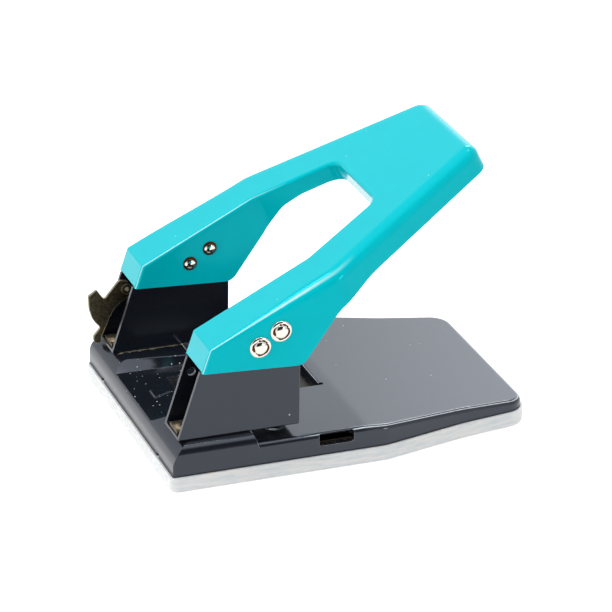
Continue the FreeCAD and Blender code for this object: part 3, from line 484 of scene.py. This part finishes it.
# ---- Latch ----------------------------------------------------------------
# A flat brass-plated hook that locks the lever down, with a knobbed tail.
# It is blanked from sheet and turns on a hollow rivet in the right bracket.
edge_highlight_width = 1.1 * mm           # width of the painted edge highlight

# Antique brass plate: dark, mottled at the scale of a millimetre, with a painted highlight along
# its edges.
dull_brass, tree = start_material("antique_brass_plate")
place = add_node(tree, "TexCoord").outputs["Object"]
rounded = add_node(tree, "Bevel", {"Radius": edge_highlight_width}, samples=8)
stain = add_node(tree, "TexNoise", {"Vector": place, "Scale": 1 / (0.9 * mm), "Detail": 5.0,
                                    "Roughness": 0.75})
spread = add_node(tree, "MapRange", {"Value": stain, "From Min": 0.35, "From Max": 0.65})
# The pale colour along the edges is a painted highlight.
surface(tree, {
    "Base Color": layered(tree, "#4A4335", (spread, "#8A8066"),
                          (along_sharp_edges(tree, rounded), "#E8E0C4")),
    "Metallic": 1.0, "Roughness": 0.4})
dress(dull_brass, "latch", "latch_rivet")

# ---- Floor, world and lamps -----------------------------------------------
# A plain pale table top and backdrop, a large soft box and two hot lamps overhead,
# lamps behind, at the rear and low at the handle's end, and a dark room behind the lens.
background_white = 1.0
world_light = 0.4
floor_glow = 0.55                # with the lamps' light it makes the floor white
floor_half = 3.0
floor_gap = 0.1 * mm             # under the tray
room_dark = Vector((-0.88, 0.08, 0.46)).normalized()
bright_wall = Vector((0.72, -0.604, 0.342)).normalized()
lamps_aim = Vector((0, 0, 0.03))

floor_mesh = bpy.data.meshes.new("floor")
floor_mesh.from_pydata([(-floor_half, -floor_half, 0), (floor_half, -floor_half, 0),
                        (floor_half, floor_half, 0), (-floor_half, floor_half, 0)],
                       [], [(0, 1, 2, 3)])
floor = bpy.data.objects.new("floor", floor_mesh)
floor.location.z = -floor_gap
bpy.context.scene.collection.objects.link(floor)


def seen(tree):
    """A mask of the rays that show the backdrop as it is: direct, in gloss or through plastic."""
    path = add_node(tree, "LightPath").outputs
    direct = add_node(tree, "Math", {0: path["Is Camera Ray"], 1: path["Is Glossy Ray"]},
                      operation="MAXIMUM")
    return add_node(tree, "Math", {0: direct, 1: path["Is Transmission Ray"]}, operation="MAXIMUM")


# Matt white lacquered board: it takes the soft shadow of the punch, and its gloss is nearly nil.
white_table, tree = start_material("matt_white_table")
surface(tree, {
    "Base Color": linear("#EDEDED"), "Roughness": 0.9, "Specular IOR Level": 0.1,
    "Emission Color": linear("#FFFFFF"),
    "Emission Strength": add_node(tree, "Math", {0: seen(tree), 1: floor_glow},
                                  operation="MULTIPLY")})
floor_mesh.materials.append(white_table)

# In polished faces the room is dark round the lens and brightest low on the far right wall. The
# limits are cosines of the angle from the middle of the dark part and of the bright one.
world = bpy.data.worlds.new("room")
bpy.context.scene.world = world
world.use_nodes = True
tree = world.node_tree
tree.nodes.clear()
direction = add_node(tree, "TexCoord").outputs["Generated"]
to_room = add_node(tree, "VectorMath", {0: direction, 1: room_dark}, operation="DOT_PRODUCT")
to_wall = add_node(tree, "VectorMath", {0: direction, 1: bright_wall}, operation="DOT_PRODUCT")
room = add_node(tree, "MapRange", {"Value": to_room, "From Min": 0.81, "From Max": 0.89,
                                   "To Min": 1.0, "To Max": 0.04})
for starts, full, strength in ((0.958, 0.988, 1.06), (0.86, 0.945, 0.64)):
    patch = add_node(tree, "MapRange", {"Value": to_wall, "From Min": starts, "From Max": full,
                                        "To Max": strength}, interpolation_type="SMOOTHSTEP")
    room = add_node(tree, "Math", {0: room, 1: patch}, operation="ADD")
glossy = add_node(tree, "LightPath").outputs["Is Glossy Ray"]
mirrored = add_node(tree, "Mix", {"Factor": glossy, "A": 1.0, "B": room})
plain = add_node(tree, "MapRange", {"Value": seen(tree), "To Min": world_light,
                                    "To Max": background_white})
sky = add_node(tree, "Background", {
    "Color": layered(tree, "#FFFFFF", (glossy, "#F4F9FF")),
    "Strength": add_node(tree, "Math", {0: plain, 1: mirrored}, operation="MULTIPLY")})
add_node(tree, "OutputWorld", {"Surface": sky})

# Square area lamps aimed at the punch. The last value says whether polished faces show the lamp.
for name, place, size, watts, shows in (
        ("soft_box_above", (-0.25, -0.05, 1.25), 1.1, 4.0, True),
        ("hot_lamp_over_the_arms", (0.18, 0.42, 1.2), 0.28, 3.0, True),
        ("hot_lamp_over_the_table", (0.05, -0.42, 1.2), 0.28, 2.2, True),
        ("hot_lamp_behind", (0.95, -0.62, 1.0), 0.36, 4.2, True),
        ("soft_box_behind", (1.4, -0.5, 0.75), 1.0, 2.0, False),
        ("soft_box_at_the_rear", (-0.2, 1.3, 0.45), 0.8, 7.4, False),
        ("lamp_low_in_front", (-1.12, -0.65, 0.27), 0.24, 2.2, True)):
    lamp = bpy.data.lights.new(name, "AREA")
    lamp.size = size
    lamp.energy = watts
    holder = bpy.data.objects.new(name, lamp)
    holder.location = place
    holder.rotation_euler = (lamps_aim - Vector(place)).to_track_quat("-Z", "Y").to_euler()
    holder.visible_camera = False
    holder.visible_glossy = shows
    bpy.context.scene.collection.objects.link(holder)

bpy.context.scene.view_settings.view_transform = "Standard"
